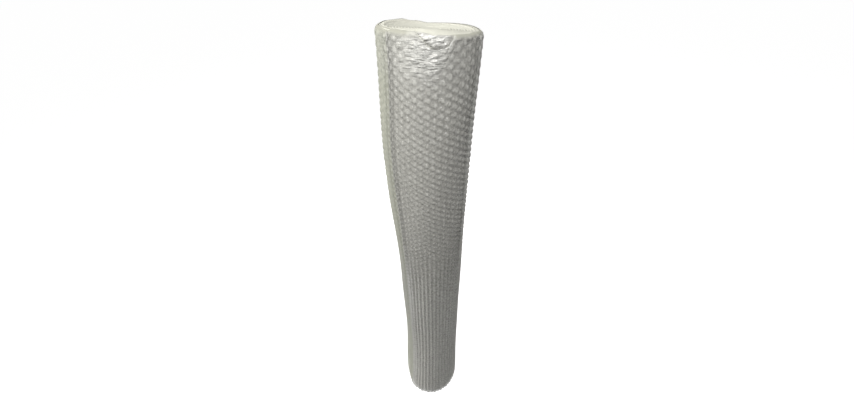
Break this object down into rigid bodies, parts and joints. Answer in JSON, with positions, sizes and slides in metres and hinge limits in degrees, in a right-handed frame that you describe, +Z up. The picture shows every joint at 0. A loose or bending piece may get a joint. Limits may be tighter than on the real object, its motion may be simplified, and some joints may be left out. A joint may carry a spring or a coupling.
{
  "type": "bubble wrap roll",
  "caption": "A standing roll of clear bubble film, wound on itself without a core, with a soft raised rim, a dent in the rim and the free end of the film lying down one side",
  "frame": {"origin": "the middle of the foot, on the floor that the roll stands on", "axes": "+Z up along the roll, its longest side; -Y is the front that shows the dent in the rim, -X the side with the raised rim"},
  "size_m": [0.1574, 0.151, 1.0116],
  "materials": {
    "bubble_film": "clear low-density polyethylene bubble film, glossy, milky where many turns lie on each other"
  },
  "bodies": {
    "root": {"bubble_wrap_roll": "bubble_film"}
  },
  "joints": []
}
